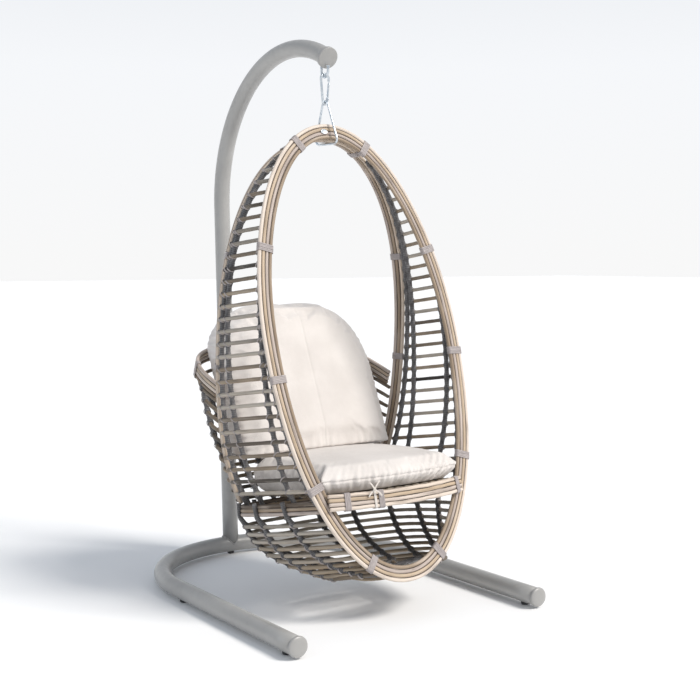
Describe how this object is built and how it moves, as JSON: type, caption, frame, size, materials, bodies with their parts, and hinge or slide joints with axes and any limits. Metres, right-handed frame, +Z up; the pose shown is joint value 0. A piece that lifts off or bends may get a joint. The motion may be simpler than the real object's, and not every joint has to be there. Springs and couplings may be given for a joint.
{
  "type": "hanging egg chair",
  "caption": "Egg-shaped wicker basket chair with seat and back cushions, hung by ring and snap hook from a curved tube stand with a U-shaped base.",
  "frame": {"origin": "on the floor, under the middle of the stand's plan box", "axes": "+Z up, the chair faces -Y, the post stands at +Y, +X to the right of a viewer facing the chair"},
  "size_m": [1.0452, 1.4066, 2.0069],
  "materials": {
    "painted_steel": "satin powder coat, taupe grey",
    "dark_plastic": "moulded glide",
    "zinc_steel": "bright zinc",
    "cane": "round synthetic cane, mottled beige and grey",
    "wicker": "wrapped synthetic wicker, grey and brown",
    "binding_strand": "flat silver-grey strand",
    "cushion_fabric": "cream woven cover",
    "cotton_tape": "cream tape"
  },
  "bodies": {
    "stand": {"arm_end_cap": "painted_steel", "base_frame": "painted_steel", "foot_back": "dark_plastic", "foot_front_left": "dark_plastic", "foot_front_right": "dark_plastic", "foot_rear_left": "dark_plastic", "foot_rear_right": "dark_plastic", "hanger_eye": "zinc_steel", "leg_cap_left": "painted_steel", "leg_cap_right": "painted_steel", "post_arm": "painted_steel"},
    "snap_hook": {"snap_hook_body": "zinc_steel", "snap_hook_pin": "zinc_steel"},
    "gate": {"snap_hook_gate": "zinc_steel"},
    "ring": {"hanger_ring": "zinc_steel"},
    "basket": {"back_cushion": "cushion_fabric", "back_lattice": "wicker", "back_rim": "cane", "badge_plate": "zinc_steel", "bowl_lattice": "wicker", "cushion_tie": "cotton_tape", "front_binding_left_1": "binding_strand", "front_binding_left_2": "binding_strand", "front_binding_left_3": "binding_strand", "front_binding_left_4": "binding_strand", "front_binding_left_5": "binding_strand", "front_binding_right_1": "binding_strand", "front_binding_right_2": "binding_strand", "front_binding_right_3": "binding_strand", "front_binding_right_4": "binding_strand", "front_binding_right_5": "binding_strand", "front_hoop": "cane", "front_rail": "cane", "rail_binding_left": "binding_strand", "rail_binding_middle": "binding_strand", "rail_binding_right": "binding_strand", "rear_binding_left_1": "binding_strand", "rear_binding_left_2": "binding_strand", "rear_binding_left_3": "binding_strand", "rear_binding_right_1": "binding_strand", "rear_binding_right_2": "binding_strand", "rear_binding_right_3": "binding_strand", "rear_hoop": "cane", "rim_binding_left": "binding_strand", "rim_binding_right": "binding_strand", "seat_cushion": "cushion_fabric", "seat_deck": "wicker", "seat_ring": "cane", "side_lattice_left": "wicker", "side_lattice_right": "wicker"}
  },
  "joints": [
    {"name": "side_swing", "type": "hinge", "parent": "stand", "child": "snap_hook", "pos_m": [0, -0.0969, 1.8541], "axis": [0, 1, 0], "range_deg": [-8, 8]},
    {"name": "fore_aft_swing", "type": "hinge", "parent": "snap_hook", "child": "ring", "pos_m": [0, -0.0969, 1.759], "axis": [1, 0, 0], "range_deg": [-12, 12]},
    {"name": "swivel", "type": "hinge", "parent": "ring", "child": "basket", "pos_m": [0, -0.0969, 1.65], "axis": [0, 0, 1], "range_deg": [-20, 20]},
    {"name": "gate_pivot", "type": "hinge", "parent": "snap_hook", "child": "gate", "pos_m": [0.01109, -0.09534, 1.773], "axis": [0.1392, -0.9903, 0], "range_deg": [0, 18], "stiffness_Nm_per_rad": 0.03, "springref_deg": -11.46}
  ]
}
